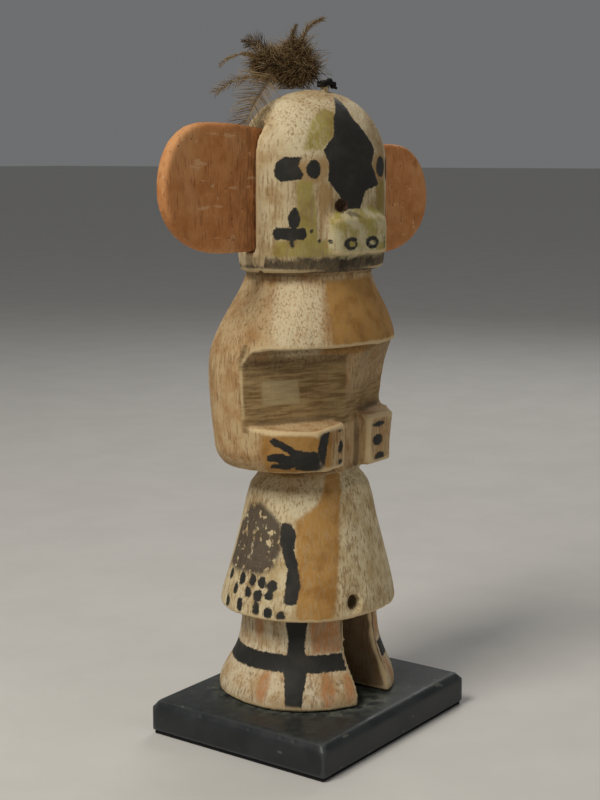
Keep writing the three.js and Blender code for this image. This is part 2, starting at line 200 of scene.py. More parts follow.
class Surface:
    """Where each vertex of the figure is, in the terms its paint is laid out in."""

    def __init__(self, co):
        p = co / MM
        self.p = p
        x, y, z = p[:, 0], p[:, 1] - AXIS_Y, p[:, 2]
        self.x, self.y, self.z = x, y, z
        self.bearing = np.degrees(np.arctan2(x, -y))
        self.radius = np.hypot(x, y)
        c, s = math.cos(HEAD_TURN), math.sin(HEAD_TURN)
        self.side = c * x + s * y
        self.fore = -(-s * x + c * y + HEAD_FORWARD)
        t = np.arctan2(self.side / HEAD_A, self.fore / HEAD_B)
        steps = np.linspace(-math.pi, math.pi, 721)
        speed = np.hypot(HEAD_A * np.cos(steps), HEAD_B * np.sin(steps))
        arc = np.concatenate([[0], np.cumsum((speed[1:] + speed[:-1]) / 2 * np.diff(steps))])
        arc -= arc[360]
        rise = np.arcsin(np.clip((z - DOME_Z) / DOME_RISE, 0, 1))
        self.u = np.interp(t, steps, arc) * np.cos(rise)      # round the head from the middle of the face
        self.v = np.where(z < DOME_Z, z, DOME_Z + 32 * rise)  # up the head
        self.head = z > HELMET_Z - 0.3
        self.kilt = (z > HEM_Z - 0.5) & (z < KILT_TOP_Z) & (self.radius < 45)
        self.legs = z < HEM_Z - 0.5
        self.torso = ~(self.head | self.kilt | self.legs)

    def above_flats(self):
        """How far a point stands in front of the two flats over the forearms, in mm."""
        end_x = np.where(self.x < RIDGE[0], RIGHT_END[0], LEFT_END[0])
        end_f = np.where(self.x < RIDGE[0], RIGHT_END[1], LEFT_END[1])
        run, fall = end_x - RIDGE[0], end_f - RIDGE[1]
        flat = RIDGE[1] + (self.x - RIDGE[0]) / run * fall
        return (-self.y - flat) * np.abs(run) / np.hypot(run, fall)

    def around(self, bearing):
        """Distance round the body from a bearing."""
        return np.radians(self.bearing - bearing) * self.radius

    def patch(self, mask, points):
        """A polygon given as (bearing, z) on the body, measured in mm about its middle."""
        middle = sum(b for b, _ in points) / len(points)
        mean = np.median(self.radius[mask]) if mask.any() else 40
        flat = [(math.radians(b - middle) * mean, z) for b, z in points]
        d = polygon(np.radians(self.bearing - middle) * mean, self.z, flat)
        return np.where(mask, d, OUTSIDE)

    def drop(self, mask, bearing, z, rx, ry):
        return np.where(mask, ellipse(self.around(bearing), self.z, 0, z, rx, ry), OUTSIDE)


def paint(mesh):
    """Writes one signed distance per paint on the carved figure."""
    s = Surface(coords(mesh))
    u, v, z = s.u, s.v, s.z
    front = s.fore > -6
    face = s.head & front

    def on(mask, d):
        return np.where(mask, d, OUTSIDE)

    # black: forehead diamond, eyes, cheek cross, snout marks
    diamond = polygon(u, v, [
        (0.5, 291), (-4.5, 282.5), (-10, 273.5), (-12.5, 266.5), (-19, 260.3), (-16.3, 254), (-17, 247.8),
        (-11, 241), (-7, 235.5), (2, 235.5), (5.5, 243), (17, 245.5), (10, 254.8), (13.8, 260.4),
        (8.4, 267.6), (2.2, 275.5), (1.8, 284)])
    right_eye = polygon(u, v, [
        (-40.7, 251), (-40, 255), (-36.4, 257.5), (-28, 257.4), (-30.8, 254), (-28.2, 250.7), (-29, 248.2),
        (-37.8, 247), (-40, 249)])
    left_eye = bar(u, v, 33.5, 252.4, 6.2, 5, 2.4)
    pupils = union(ellipse(u, v, -23.6, 252.3, 3.3, 4), ellipse(u, v, 19.4, 253.2, 4.8, 4.6))
    crosses = []
    for middle in (-32.8, 30):
        crosses += [
            ellipse(u, v, middle + 0.6, 231.4, 2.5, 4.8),
            bar(u, v, middle - 1.2, 225.4, 7.2, 2.6, 2),
        ]
    crosses.append(ellipse(u, v, -33.2, 221.3, 1.1, 2))
    dots = [ellipse(u, v, a, b, r, r) for a, b, r in (
        (-24.7, 226.3, 0.8), (-23, 227.2, 0.6), (-20.9, 226.6, 0.5), (-20.9, 222.2, 0.9), (-16, 221.8, 1))]
    teeth = []
    for middle in (-6.4, 6):
        ring = ellipse(u, v, middle, 220.8, 3.9, 2.8)
        hollow = ellipse(u, v, middle + 0.3, 220.6, 1.9, 1.1)
        teeth.append(np.maximum(ring, -hollow))
    teeth.append(bar(u, v, 14, 220, 0.5, 3.2, 0.4))
    black = on(face, union(diamond, right_eye, left_eye, pupils, *crosses, *dots, *teeth))

    # black on the body: hand, arm bar, ticks, kilt border and drops, leg bands
    arm = s.torso & (z < ARM_TOP_Z + 1) & (s.bearing < 0) & (s.bearing > -100) & (s.radius > 24)
    hand = union(
        s.patch(arm, [(-63, 133.7), (-49, 132.3), (-50, 123), (-63, 124.4)]),
        s.patch(arm, [(-79, 137.6), (-74, 139), (-60, 132.8), (-62.7, 130.2)]),
        s.patch(arm, [(-79.6, 131.3), (-71.7, 132.4), (-61.5, 130.1), (-61.7, 126.4), (-79, 128.8)]),
        s.patch(arm, [(-78, 125.2), (-67, 124.4), (-60, 127.3), (-64, 128.5), (-77, 127)]),
        s.patch(arm, [(-46.5, 140.5), (-38.5, 140.5), (-42.7, 129.8), (-45, 122), (-53, 122), (-49, 133)]),
    )
    ticks = [s.drop(arm, -25.6, t, 1.6, h) for t, h in ((139.6, 0.9), (132, 3), (125, 1.8))]
    left_hand = s.torso & (s.x > 10) & (-s.y > 22.6) & (z < ARM_TOP_Z)
    marks = [np.where(left_hand, ellipse(s.x, z, a, b, w, h), OUTSIDE)
             for a, b, w, h in ((20.6, 137.4, 4.6, 1.3), (20, 130.2, 4, 2.6), (21.4, 122.2, 4.4, 2.2))]
    border = s.patch(s.kilt, [
        (-77.2, 98.6), (-77.6, 91.4), (-74, 85.3), (-69.5, 79.2), (-70.5, 70.7), (-71, 64.5), (-62.2, 64.8),
        (-60.1, 73.1), (-62.6, 81.5), (-66, 87.7), (-64.3, 94), (-69.7, 99)])
    drops = [s.drop(s.kilt, b, h, rx, ry) for b, h, rx, ry in (
        (-121, 72, 2, 2.6), (-105.3, 72.6, 2, 3), (-95.3, 72.8, 2, 2.8), (-87.5, 72.6, 2, 2.7),
        (-79.7, 71.8, 2.6, 2.6), (-110, 67.3, 1.8, 2.7), (-97.4, 67.6, 1.9, 2.6), (-89, 67, 2.3, 2.8),
        (-81, 67.6, 2.2, 2), (-116.7, 60.6, 1.8, 3.2), (-102.6, 61.4, 1.8, 3.3), (-89.1, 61.2, 1.8, 3.2),
        (-80.3, 60, 2.1, 2.8), (-71.8, 59.4, 2, 2.4))]
    outer_leg = s.legs & ((s.x < -14.4) | (s.x > 10))
    banded = outer_leg & ((s.x < 0) | (s.bearing > 19))
    waver = 0.6 * np.sin(np.radians(s.bearing * 2))
    band = on(banded, np.abs(z - 35.2 + waver) - 3.7)
    stripe_r = on(outer_leg, np.abs(s.around(-64.4 - (z - 36) * 0.02)) - 4.4 - 0.6 * np.sin(z / 4))
    stripe_l = on(outer_leg, np.abs(s.around(66)) - 4.6 - 0.6 * np.sin(z / 4))
    black = union(black, hand, *ticks, *marks, border, *drops, band, stripe_r, stripe_l)
    put_attribute(mesh, "black", black)

    # yellow green: patch by the diamond, cheek stripes, wash over the band, snout front
    green = union(
        polygon(u, v, [(-24, 269), (-18, 276.5), (-11, 281), (-7.5, 278.5), (-12.3, 267), (-19.7, 260.3),
                       (-28, 260.3)]),
        polygon(u, v, [(-31.2, 247.5), (-24.2, 247.5), (-22.5, 233), (-21.8, 222.5), (-24.5, 215), (-31.5, 215)]),
        polygon(u, v, [(14, 247), (25, 247), (24, 215), (15, 232)]),
        bar(u, v, -29, 219, 12.5, 3.6, 1),
    )
    put_attribute(mesh, "green", on(face, green))
    snout = face & (s.fore > 24.4) & (z < 236) & (z > 214)
    put_attribute(mesh, "snout", np.where(snout, 1.0, 0.0))

    # tan: bare rings round the eyes and a strip beside the snout
    tan = on(face, union(ellipse(u, v, -24, 252.3, 8, 6.4), ellipse(u, v, 19.4, 253, 8.6, 6.4),
                         polygon(u, v, [(-21.5, 246), (-18, 247.5), (-14.5, 243), (-18.5, 233), (-20.5, 222)])))
    put_attribute(mesh, "tan", tan)

    # white: thick worn patches
    white = on(face, union(ellipse(u, v, -26, 271, 10.5, 15), ellipse(u, v, 8, 278, 6, 10)))
    chest = s.torso & (z > CHEST_Z - 6)
    white = union(
        white,
        s.patch(chest, [(-79, 204), (-62, 205), (-43, 202), (-46, 181), (-44, 172), (-74, 172), (-78, 189)]),
        s.patch(s.kilt, [(-89.6, 107.8), (-63.3, 112.3), (-46.9, 108.8), (-52.5, 99.6), (-70.7, 100.2)]),
    )
    put_attribute(mesh, "white", white)

    # ochre: chest front, hand ground, kilt panel
    ochre = union(
        s.patch(chest, [(-40.5, 205), (25, 205), (60, 190), (60, 174), (11, 172), (-38, 172)]),
        s.patch(arm, [(-82, 139.8), (-36.8, 140.6), (-36.8, 121), (-81, 121)]),
        s.patch(s.kilt, [(-65.7, 100), (-47, 107), (-34, 120), (-14, 120), (-26, 106), (-38.8, 56), (-62, 56)]),
    )
    put_attribute(mesh, "ochre", ochre)

    # dark: helmet band, knot hole and smear over the snout, kilt panel's dark wash
    knot = ellipse(u, v, -9.8, 236.9, 3.7, 3.1)
    smear = polygon(u, v, [(-9.5, 234.4), (-5, 234.6), (0.8, 232.2), (0, 231.6), (-6, 232.4)])
    put_attribute(mesh, "knot", on(face, knot))
    put_attribute(mesh, "smear", on(face, smear))
    helmet_band = np.where(s.head, v - 214.9, OUTSIDE)
    helmet_band = np.where(s.u < -45.5, helmet_band + 3.5, helmet_band)
    put_attribute(mesh, "band", helmet_band)
    put_attribute(mesh, "panel", s.patch(s.kilt, [
        (-127, 95), (-117, 104), (-100, 106), (-84.6, 101.7), (-77.2, 97.8), (-76, 87.2), (-80, 79.3),
        (-88.5, 75.7), (-117, 74.5), (-130, 76)]))

    # orange on the legs
    orange = union(
        s.patch(outer_leg, [(-54, 57), (-20, 57), (-22, 40), (-52, 40)]),
        s.drop(outer_leg, -42, 24, 3.2, 8), s.drop(outer_leg, -86, 25, 3, 7), s.drop(outer_leg, -25, 24, 3.4, 7),
        s.drop(outer_leg, -100, 50, 3, 6), s.drop(outer_leg, 18, 46, 4, 7), s.drop(outer_leg, 24, 24, 2.4, 7),
        s.drop(outer_leg, 100, 26, 4, 8), s.drop(outer_leg, 150, 45, 5, 8), s.drop(outer_leg, -150, 27, 4, 8),
    )
    put_attribute(mesh, "orange", orange)

    # painted shade: darker where the front of the torso faces down above z 150, as under the chest's edge, and
    # towards the top of the flats' floor
    n = normals(mesh)
    stand = s.above_flats()
    cut = s.torso & (z > ARM_TOP_Z - 1) & (z < CHEST_Z + 2) & (s.y < 6)
    floor_of_cut = cut * np.clip(1.6 - np.abs(stand), 0, 1)
    under = np.clip(-n[:, 2] * 1.6 - 0.1, 0, 1) * s.torso * (z > 150) * (s.y < 6)
    low = floor_of_cut * np.clip((z - 163) / 8, 0, 1) * (s.x < 4)
    put_attribute(mesh, "under_shade", np.clip(under + low, 0, 1))
    put_attribute(mesh, "recess", floor_of_cut)
    recess = cut & (np.abs(stand) < 2)
    put_attribute(mesh, "pale", s.patch(recess & (s.bearing < -50), [
        (-86.3, 162.2), (-65.8, 161.8), (-64.2, 151.2), (-86, 151.4)]))
    part = np.select([s.head, s.torso, s.kilt], [0.0, 1.0, 2.0], 3.0)
    put_attribute(mesh, "part", part)
    # the legs' inner sides, which take painted shade in the gap between the legs
    put_attribute(mesh, "leg_gap_shade", np.where(s.legs & ~outer_leg, 1.0, 0.0))


def carve(ob):
    """Knife facets, the saw line below the right ear, the knot hole, and small chips."""
    mesh = ob.data
    s = Surface(coords(mesh))
    p = s.p.copy()
    tall = p * np.array([1, 1, 0.35])
    amount = 0.22 * smooth_noise(tall, 9, 1) + 0.13 * smooth_noise(tall, 4, 2) + 0.05 * smooth_noise(p, 2, 3)
    line = np.abs(s.fore - EAR_FRONT_RIGHT - 1.6 - 0.02 * (s.z - 215)) < 0.75
    amount -= 0.9 * (line & (s.side < -30) & (s.z > HELMET_Z - 1) & (s.z < 219))
    hole = ellipse(s.u, s.v, -9.8, 236.9, 3.5, 2.9)
    rough = 0.5 + 0.5 * smooth_noise(p, 1.3, 5)
    amount -= np.where(s.head & (s.fore > 0), np.clip(-hole, 0, 1.6) * (0.9 + 0.8 * rough), 0)
    displace(ob, amount)


# ---------------------------------------------------------------- shader helpers

def srgb(r, g, b):
    def one(c):
        c /= 255
        return c / 12.92 if c <= 0.04045 else ((c + 0.055) / 1.055) ** 2.4
    return (one(r), one(g), one(b), 1.0)


class Shader:
    """Small helper that builds one node material."""

    def __init__(self, name, roughness=0.75):
        self.mat = bpy.data.materials.new(name)
        self.mat.use_nodes = True
        self.tree = self.mat.node_tree
        self.bsdf = self.tree.nodes["Principled BSDF"]
        self.bsdf.inputs["Roughness"].default_value = roughness
        self.bsdf.inputs["Specular IOR Level"].default_value = 0.3
        self.place = self.tree.nodes.new("ShaderNodeTexCoord").outputs["Object"]

    def link(self, source, socket):
        if isinstance(source, (int, float)):
            socket.default_value = source
        elif isinstance(source, tuple):
            socket.default_value = source
        else:
            self.tree.links.new(source, socket)

    def attr(self, name):
        node = self.tree.nodes.new("ShaderNodeAttribute")
        node.attribute_name = name
        return node.outputs["Fac"]

    def math(self, op, a, b=0.0, c=None):
        node = self.tree.nodes.new("ShaderNodeMath")
        node.operation = op
        self.link(a, node.inputs[0])
        self.link(b, node.inputs[1])
        if c is not None:
            self.link(c, node.inputs[2])
        return node.outputs[0]

    def add(self, a, b):
        return self.math("ADD", a, b)

    def mul(self, a, b):
        return self.math("MULTIPLY", a, b)

    def step(self, value, low, high, to_low=0.0, to_high=1.0):
        """Smooth step of value from low to high."""
        node = self.tree.nodes.new("ShaderNodeMapRange")
        node.interpolation_type = "SMOOTHSTEP"
        self.link(value, node.inputs["Value"])
        for key, number in (("From Min", low), ("From Max", high), ("To Min", to_low), ("To Max", to_high)):
            node.inputs[key].default_value = number
        return node.outputs["Result"]

    def stretch(self, x, y, z, turn=0.0):
        node = self.tree.nodes.new("ShaderNodeMapping")
        self.link(self.place, node.inputs["Vector"])
        node.inputs["Scale"].default_value = (x, y, z)
        node.inputs["Rotation"].default_value = (0, 0, turn)
        return node.outputs["Vector"]

    def noise(self, size_mm, detail=3.0, rough=0.55, vector=None, kind="FBM"):
        node = self.tree.nodes.new("ShaderNodeTexNoise")
        node.noise_dimensions = "3D"
        node.noise_type = kind
        self.link(vector if vector is not None else self.place, node.inputs["Vector"])
        node.inputs["Scale"].default_value = 1 / (size_mm * MM)
        node.inputs["Detail"].default_value = detail
        node.inputs["Roughness"].default_value = rough
        return node.outputs["Fac"]

    def cells(self, size_mm, vector=None, feature="F1", jitter=1.0):
        node = self.tree.nodes.new("ShaderNodeTexVoronoi")
        node.feature = feature
        self.link(vector if vector is not None else self.place, node.inputs["Vector"])
        node.inputs["Scale"].default_value = 1 / (size_mm * MM)
        node.inputs["Randomness"].default_value = jitter
        return node.outputs["Distance"]

    def mix(self, factor, a, b):
        node = self.tree.nodes.new("ShaderNodeMix")
        node.data_type = "RGBA"
        self.link(factor, node.inputs["Factor"])
        self.link(a, node.inputs[6])
        self.link(b, node.inputs[7])
        return node.outputs[2]

    def inside(self, name, wobble, soft=0.5, grow=0.0):
        """1 inside the painted shape, with an edge moved about by wobble (in mm)."""
        d = self.add(self.attr(name), wobble)
        return self.step(d, grow - soft, grow + soft, 1.0, 0.0)

    def finish(self, color, height=None, distance_mm=0.1, roughness=None):
        self.link(color, self.bsdf.inputs["Base Color"])
        if roughness is not None:
            self.link(roughness, self.bsdf.inputs["Roughness"])
        if height is not None:
            bump = self.tree.nodes.new("ShaderNodeBump")
            bump.inputs["Distance"].default_value = distance_mm * MM
            bump.inputs["Strength"].default_value = 1.0
            self.link(height, bump.inputs["Height"])
            self.link(bump.outputs["Normal"], self.bsdf.inputs["Normal"])
        return self.mat


def signed(sh, noise_value, amount):
    """Noise of 0..1 as a push of about plus or minus amount."""
    return sh.math("MULTIPLY_ADD", noise_value, 2 * amount, -amount)


def figure_material():
    m = Shader("painted_wood", 0.78)
    grain = m.noise(1.1, 4, 0.6, m.stretch(1, 1, 0.13))
    fine = m.noise(0.55, 3, 0.65)
    speck = m.noise(0.9, 5, 0.75, m.stretch(1, 1, 0.55))
    blotch = m.noise(9, 4, 0.6)
    broad = m.noise(22, 3, 0.5)
    edge_wobble = m.add(signed(m, m.noise(2.2, 3, 0.6), 0.9), signed(m, fine, 0.3))

    part = m.attr("part")
    is_torso = m.mul(m.step(part, 0.4, 0.6), m.step(part, 1.4, 1.6, 1, 0))
    is_kilt = m.mul(m.step(part, 1.4, 1.6), m.step(part, 2.4, 2.6, 1, 0))
    is_legs = m.step(part, 2.4, 2.6)

    # bare wood under everything
    wood = m.mix(m.step(grain, 0.3, 0.7), srgb(118, 84, 50), srgb(168, 130, 86))
    wood = m.mix(m.step(blotch, 0.45, 0.8), wood, srgb(132, 100, 66))

    # ground coats
    cream = m.mix(m.step(blotch, 0.35, 0.7), srgb(200, 184, 148), srgb(172, 147, 106))
    torso_ground = m.mix(m.step(blotch, 0.35, 0.7), srgb(196, 170, 128), srgb(170, 132, 86))
    legs_ground = m.mix(m.step(blotch, 0.4, 0.65), srgb(212, 196, 164), srgb(188, 160, 118))
    ground = m.mix(is_torso, cream, torso_ground)
    ground = m.mix(is_kilt, ground, m.mix(m.step(blotch, 0.4, 0.7), srgb(212, 196, 158), srgb(184, 160, 116)))
    ground = m.mix(is_legs, ground, legs_ground)
    # the ground is rubbed through in streaks along the grain
    rub = m.add(m.mul(grain, 0.62), m.mul(speck, 0.38))
    covered = m.step(m.add(rub, m.mul(broad, 0.2)), 0.50, 0.62, 0.35, 1.0)
    color = m.mix(covered, wood, ground)

    # tan, white, ochre, green, orange coats
    color = m.mix(m.mul(m.inside("tan", edge_wobble, 1.6), 0.8), color, srgb(164, 130, 82))
    white_cover = m.mul(m.inside("white", edge_wobble, 2.5), m.step(speck, 0.40, 0.52))
    color = m.mix(m.mul(white_cover, 0.8), color, srgb(214, 200, 166))
    ochre_cover = m.mul(m.inside("ochre", edge_wobble, 1.2), m.step(rub, 0.36, 0.52, 0.45, 1.0))
    ochre = m.mix(m.step(blotch, 0.4, 0.7), srgb(176, 133, 72), srgb(152, 108, 52))
    color = m.mix(ochre_cover, color, ochre)
    green_cover = m.mul(m.inside("green", edge_wobble, 1.0), m.step(rub, 0.38, 0.54, 0.25, 0.9))
    green_tone = m.mix(m.step(blotch, 0.4, 0.65), srgb(154, 140, 66), srgb(136, 118, 50))
    color = m.mix(green_cover, color, green_tone)
    orange_cover = m.mul(m.inside("orange", edge_wobble, 1.4), m.step(rub, 0.4, 0.55, 0.2, 0.85))
    color = m.mix(orange_cover, color, srgb(178, 116, 62))
    snout = m.attr("snout")
    snout_tone = m.mix(m.step(blotch, 0.42, 0.6), srgb(196, 186, 146), srgb(160, 148, 74))
    color = m.mix(m.mul(snout, m.step(rub, 0.36, 0.5, 0.3, 0.85)), color, snout_tone)

    # recess: streaks across and a paler rectangle; painted shade under the chest's edge; painted shade in the gap
    # between the legs
    across = m.noise(1.4, 4, 0.65, m.stretch(0.12, 0.12, 1))
    recess_color = m.mix(m.step(across, 0.35, 0.65), srgb(112, 86, 50), srgb(168, 142, 96))
    color = m.mix(m.mul(m.attr("recess"), 0.85), color, recess_color)
    color = m.mix(m.mul(m.inside("pale", signed(m, across, 0.6), 0.5), 0.5), color, srgb(190, 174, 134))
    # painted shade under the chest's edge: dark brown, broken up by specks
    under_shade = m.mul(m.attr("under_shade"), m.step(m.add(speck, m.mul(blotch, 0.4)), 0.42, 0.8, 0.9, 0.35))
    color = m.mix(under_shade, color, srgb(66, 50, 32))
    # painted shade: the legs' inner sides darker brown, in the gap between them
    color = m.mix(m.mul(m.attr("leg_gap_shade"), 0.8), color, srgb(110, 84, 54))

    # dark coats
    panel_cover = m.mul(m.inside("panel", edge_wobble, 1.6), m.step(m.noise(3.2, 3, 0.6), 0.34, 0.44))
    color = m.mix(m.mul(panel_cover, 0.9), color, srgb(66, 56, 48))
    band_wobble = m.add(signed(m, m.noise(4, 3, 0.6), 2.2), signed(m, speck, 1.4))
    band_cover = m.mul(m.inside("band", band_wobble, 1.2), m.step(blotch, 0.3, 0.7, 1.0, 0.72))
    color = m.mix(band_cover, color, m.mix(m.step(speck, 0.5, 0.62), srgb(50, 46, 38), srgb(96, 70, 40)))
    black_cover = m.inside("black", edge_wobble, 0.3)
    worn = m.step(m.noise(0.8, 4, 0.7), 0.24, 0.3)
    black_cover = m.mul(black_cover, worn)
    black_tone = m.mix(m.step(blotch, 0.4, 0.7), srgb(38, 37, 33), srgb(54, 51, 45))
    color = m.mix(black_cover, color, black_tone)
    color = m.mix(m.mul(m.inside("smear", edge_wobble, 0.6), 0.7), color, srgb(74, 62, 50))
    color = m.mix(m.inside("knot", edge_wobble, 0.5), color,
                  m.mix(m.step(fine, 0.4, 0.6), srgb(30, 20, 12), srgb(84, 56, 34)))

    # edges rubbed pale; painted shade darkening the hollows
    edge = m.add(m.attr("edge"), signed(m, speck, 0.16))
    color = m.mix(m.step(edge, 0.42, 0.75, 0.0, 0.8), color, srgb(214, 190, 146))
    # painted shade in the hollows: dark brown where the surface is concave
    color = m.mix(m.step(m.attr("edge"), -0.75, -0.3, 0.6, 0.0), color, srgb(70, 52, 34))

    height = m.add(m.mul(grain, 0.8), m.add(m.mul(fine, 0.5), m.mul(black_cover, 0.35)))
    rough = m.step(black_cover, 0, 1, 0.82, 0.62)
    return m.finish(color, height, 0.16, rough)


def ear_material():
    m = Shader("ear_paint", 0.72)
    grain = m.noise(1.0, 4, 0.6, m.stretch(1, 1, 0.16))
    speck = m.noise(0.7, 5, 0.75)
    blotch = m.noise(8, 4, 0.6)
    broad = m.noise(20, 2, 0.5)
    paint_tone = m.mix(m.step(blotch, 0.35, 0.7), srgb(196, 134, 80), srgb(176, 112, 60))
    paint_tone = m.mix(m.step(broad, 0.45, 0.7), paint_tone, srgb(204, 148, 96))
    color = m.mix(m.step(grain, 0.3, 0.48, 0.55, 0.0), paint_tone, srgb(126, 76, 40))
    # painted shade: darker toward the head where the ear meets it, broken into streaks along the grain
    color = m.mix(m.mul(m.attr("root"), m.step(grain, 0.4, 0.65, 0.75, 0.2)), color, srgb(112, 70, 38))
    pale = m.mul(m.step(m.noise(4.5, 4, 0.7), 0.62, 0.70), m.step(speck, 0.42, 0.55))
    color = m.mix(m.mul(pale, 0.6), color, srgb(228, 198, 158))
    scratch = m.step(m.noise(3.2, 2, 0.5, m.stretch(0.22, 0.22, 1, 0.5)), 0.665, 0.69)
    color = m.mix(m.mul(scratch, 0.35), color, srgb(226, 190, 146))
    edge = m.add(m.attr("edge"), signed(m, m.noise(1.6, 4, 0.7), 0.22))
    color = m.mix(m.step(edge, 0.34, 0.6, 0.0, 0.85), color, srgb(222, 200, 166))
    color = m.mix(m.step(m.cells(5.5), 0.05, 0.09, 0.8, 0.0), color, srgb(70, 44, 26))
    height = m.add(m.mul(grain, 0.8), m.mul(speck, 0.4))
    return m.finish(color, height, 0.12)


def plinth_material():
    m = Shader("black_paint", 0.42)
    fine = m.noise(0.7, 4, 0.7)
    cloud = m.noise(14, 4, 0.6)
    color = m.mix(m.step(cloud, 0.35, 0.7), srgb(34, 37, 39), srgb(46, 50, 51))
    dust = m.mul(m.attr("dust"), m.step(m.noise(5, 5, 0.7), 0.35, 0.7))
    color = m.mix(m.mul(dust, 0.55), color, srgb(104, 108, 96))
    # painted highlight: cool grey along the plinth's edges
    edge = m.add(m.attr("edge"), signed(m, fine, 0.14))
    color = m.mix(m.step(edge, 0.2, 0.6, 0.0, 0.3), color, srgb(96, 102, 104))
    specks = m.mul(m.step(m.cells(7), 0.03, 0.07, 1, 0), m.step(m.noise(30, 2), 0.48, 0.56))
    color = m.mix(m.mul(specks, 0.85), color, srgb(176, 176, 164))
    scrape = m.step(m.noise(4, 2, 0.5, m.stretch(0.25, 0.25, 1, 0.6)), 0.70, 0.72)
    color = m.mix(m.mul(scrape, 0.35), color, srgb(120, 120, 108))
    rough = m.step(m.add(cloud, m.mul(dust, 0.5)), 0.3, 0.9, 0.36, 0.62)
    return m.finish(color, m.add(m.mul(fine, 0.3), m.mul(cloud, 2)), 0.08, rough)


def plain_material(name, low, high, size=1.2, roughness=0.85, bump=0.1):
    m = Shader(name, roughness)
    value = m.noise(size, 4, 0.65)
    return m.finish(m.mix(m.step(value, 0.35, 0.65), low, high), value, bump)


def feather_material():
    m = Shader("feather", 0.8)
    shade = m.attr("shade")
    color = m.mix(m.step(shade, 0.0, 0.5), srgb(46, 34, 22), srgb(116, 92, 58))
    color = m.mix(m.step(shade, 0.5, 1.0), color, srgb(184, 162, 122))
    return m.finish(color)


# ---------------------------------------------------------------- feathers of thin barbs

SHEET = math.radians(-54)
ACROSS = np.array([math.cos(SHEET), math.sin(SHEET), 0])
BEHIND = np.array([-math.sin(SHEET), math.cos(SHEET), 0])
UP = np.array([0, 0, 1.0])


def in_sheet(across, height, behind=0.0):
    """A point of the tuft from (across, height, behind) in its own upright sheet, in mm."""
    return across * ACROSS + behind * BEHIND + height * UP + np.array([0, AXIS_Y, 0])


class Strands:
    """Collects thin three-sided strands and makes one mesh of them."""

    def __init__(self):
        self.verts, self.faces, self.shade = [], [], []

    def strand(self, points, radius, shade, tip=0.15):
        pts = np.asarray(points, dtype=float)
        tangent = np.gradient(pts, axis=0)
        tangent /= np.linalg.norm(tangent, axis=1)[:, None] + 1e-9
        first = np.cross(tangent[0], UP)
        if np.linalg.norm(first) < 1e-3:
            first = np.cross(tangent[0], ACROSS)
        first /= np.linalg.norm(first)
        base = len(self.verts)
        last = len(pts) - 1
        for i, (p, t) in enumerate(zip(pts, tangent)):
            side = first - t * first.dot(t)
            side /= np.linalg.norm(side) + 1e-9
            other = np.cross(t, side)
            r = radius * (1 - (1 - tip) * i / last)
            for k in range(3):
                a = 2 * math.pi * k / 3
                self.verts.append((p + r * (math.cos(a) * side + math.sin(a) * other)) * MM)
                self.shade.append(shade[0] + (shade[1] - shade[0]) * i / last)
            if i:
                low, high = base + 3 * (i - 1), base + 3 * i
                for k in range(3):
                    j = (k + 1) % 3
                    self.faces.append((low + k, low + j, high + j, high + k))
        self.faces.append((base + 2, base + 1, base))
        top = base + 3 * last
        self.faces.append((top, top + 1, top + 2))

    def build(self, name, material, *nodes):
        mesh = bpy.data.meshes.new(name)
        mesh.from_pydata([tuple(v) for v in self.verts], [], self.faces)
        put_attribute(mesh, "shade", self.shade)
        mesh.shade_smooth()
        mesh.materials.append(material)
        ob = bpy.data.objects.new(name, mesh)
        scene.collection.objects.link(ob)
        settle(ob, "feather", *nodes)


def curve_points(points, count):
    """Catmull-Rom through the points."""
    pts = [np.asarray(p, dtype=float) for p in points]
    pts = [2 * pts[0] - pts[1], *pts, 2 * pts[-1] - pts[-2]]
    out = []
    for q in np.linspace(0, len(pts) - 3 - 1e-6, count):
        i = int(q)
        t = q - i
        a, b, c, d = pts[i:i + 4]
        out.append(0.5 * (2 * b + (c - a) * t + (2 * a - 5 * b + 4 * c - d) * t ** 2
                          + (3 * b - a - 3 * c + d) * t ** 3))
    return np.array(out)


def vane(strands, spine, count, left, right, sweep, shade, bend=0.3, quill=0.45, scatter=0.15, start=0.0):
    """A quill with barbs on both sides.

    left and right are barb lengths, sweep how far they lean to the tip.
    """
    line = curve_points([in_sheet(*p) for p in spine], 60)
    strands.strand(line[::4], quill, (shade[0] * 0.9, shade[1]), 0.2)
    tangent = np.gradient(line, axis=0)
    tangent /= np.linalg.norm(tangent, axis=1)[:, None]
    for i in range(count):
        along = start + (1 - start) * (i + rng.random()) / count
        k = min(int(along * 59), 58)
        root, t = line[k], tangent[k]
        out = np.cross(t, BEHIND)
        out /= np.linalg.norm(out)
        for sign, reach in ((-1, left), (1, right)):
            length = reach(along) if callable(reach) else reach
            length *= 1 - 0.35 * rng.random()
            if length < 0.5:
                continue
            lean = sweep + scatter * rng.normal()
            away = sign * out * math.cos(lean) + t * math.sin(lean) + 0.5 * scatter * rng.normal() * BEHIND
            away /= np.linalg.norm(away)
            droop = bend * t + 0.3 * scatter * rng.normal() * BEHIND
            q = np.linspace(0, 1, 6)[:, None]
            pts = root + length * (q * away + 0.5 * q ** 2 * droop)
            tone = shade[0] + (shade[1] - shade[0]) * rng.random()
            strands.strand(pts, 0.16, (tone * 0.8, tone), 0.3)


# ---------------------------------------------------------------- build everything

figure = dense_copy("carved_figure", "carved_doll", FIGURE_VOXEL, 3)
carve(figure)
paint(figure.data)
figure.data.materials.clear()
figure.data.materials.append(figure_material())
settle(figure, "painted_wood", "carved_figure")

ear_paint = ear_material()
for node, name in (("right_ear", "right_ear_plate"), ("left_ear", "left_ear_plate")):
    ear = dense_copy(node, name, EAR_VOXEL, 7)
    p = coords(ear.data) / MM
    displace(ear, 0.2 * smooth_noise(p, 14, 11) + 0.06 * smooth_noise(p, 4, 12))
    reach = np.abs(Surface(coords(ear.data)).side)
    # root: how near the head each point is, for the painted shade where the ear meets the head
    put_attribute(ear.data, "root", np.clip((56 - reach) / 16, 0, 1))
    ear.data.materials.clear()
    ear.data.materials.append(ear_paint)
    settle(ear, "ear_paint", node)

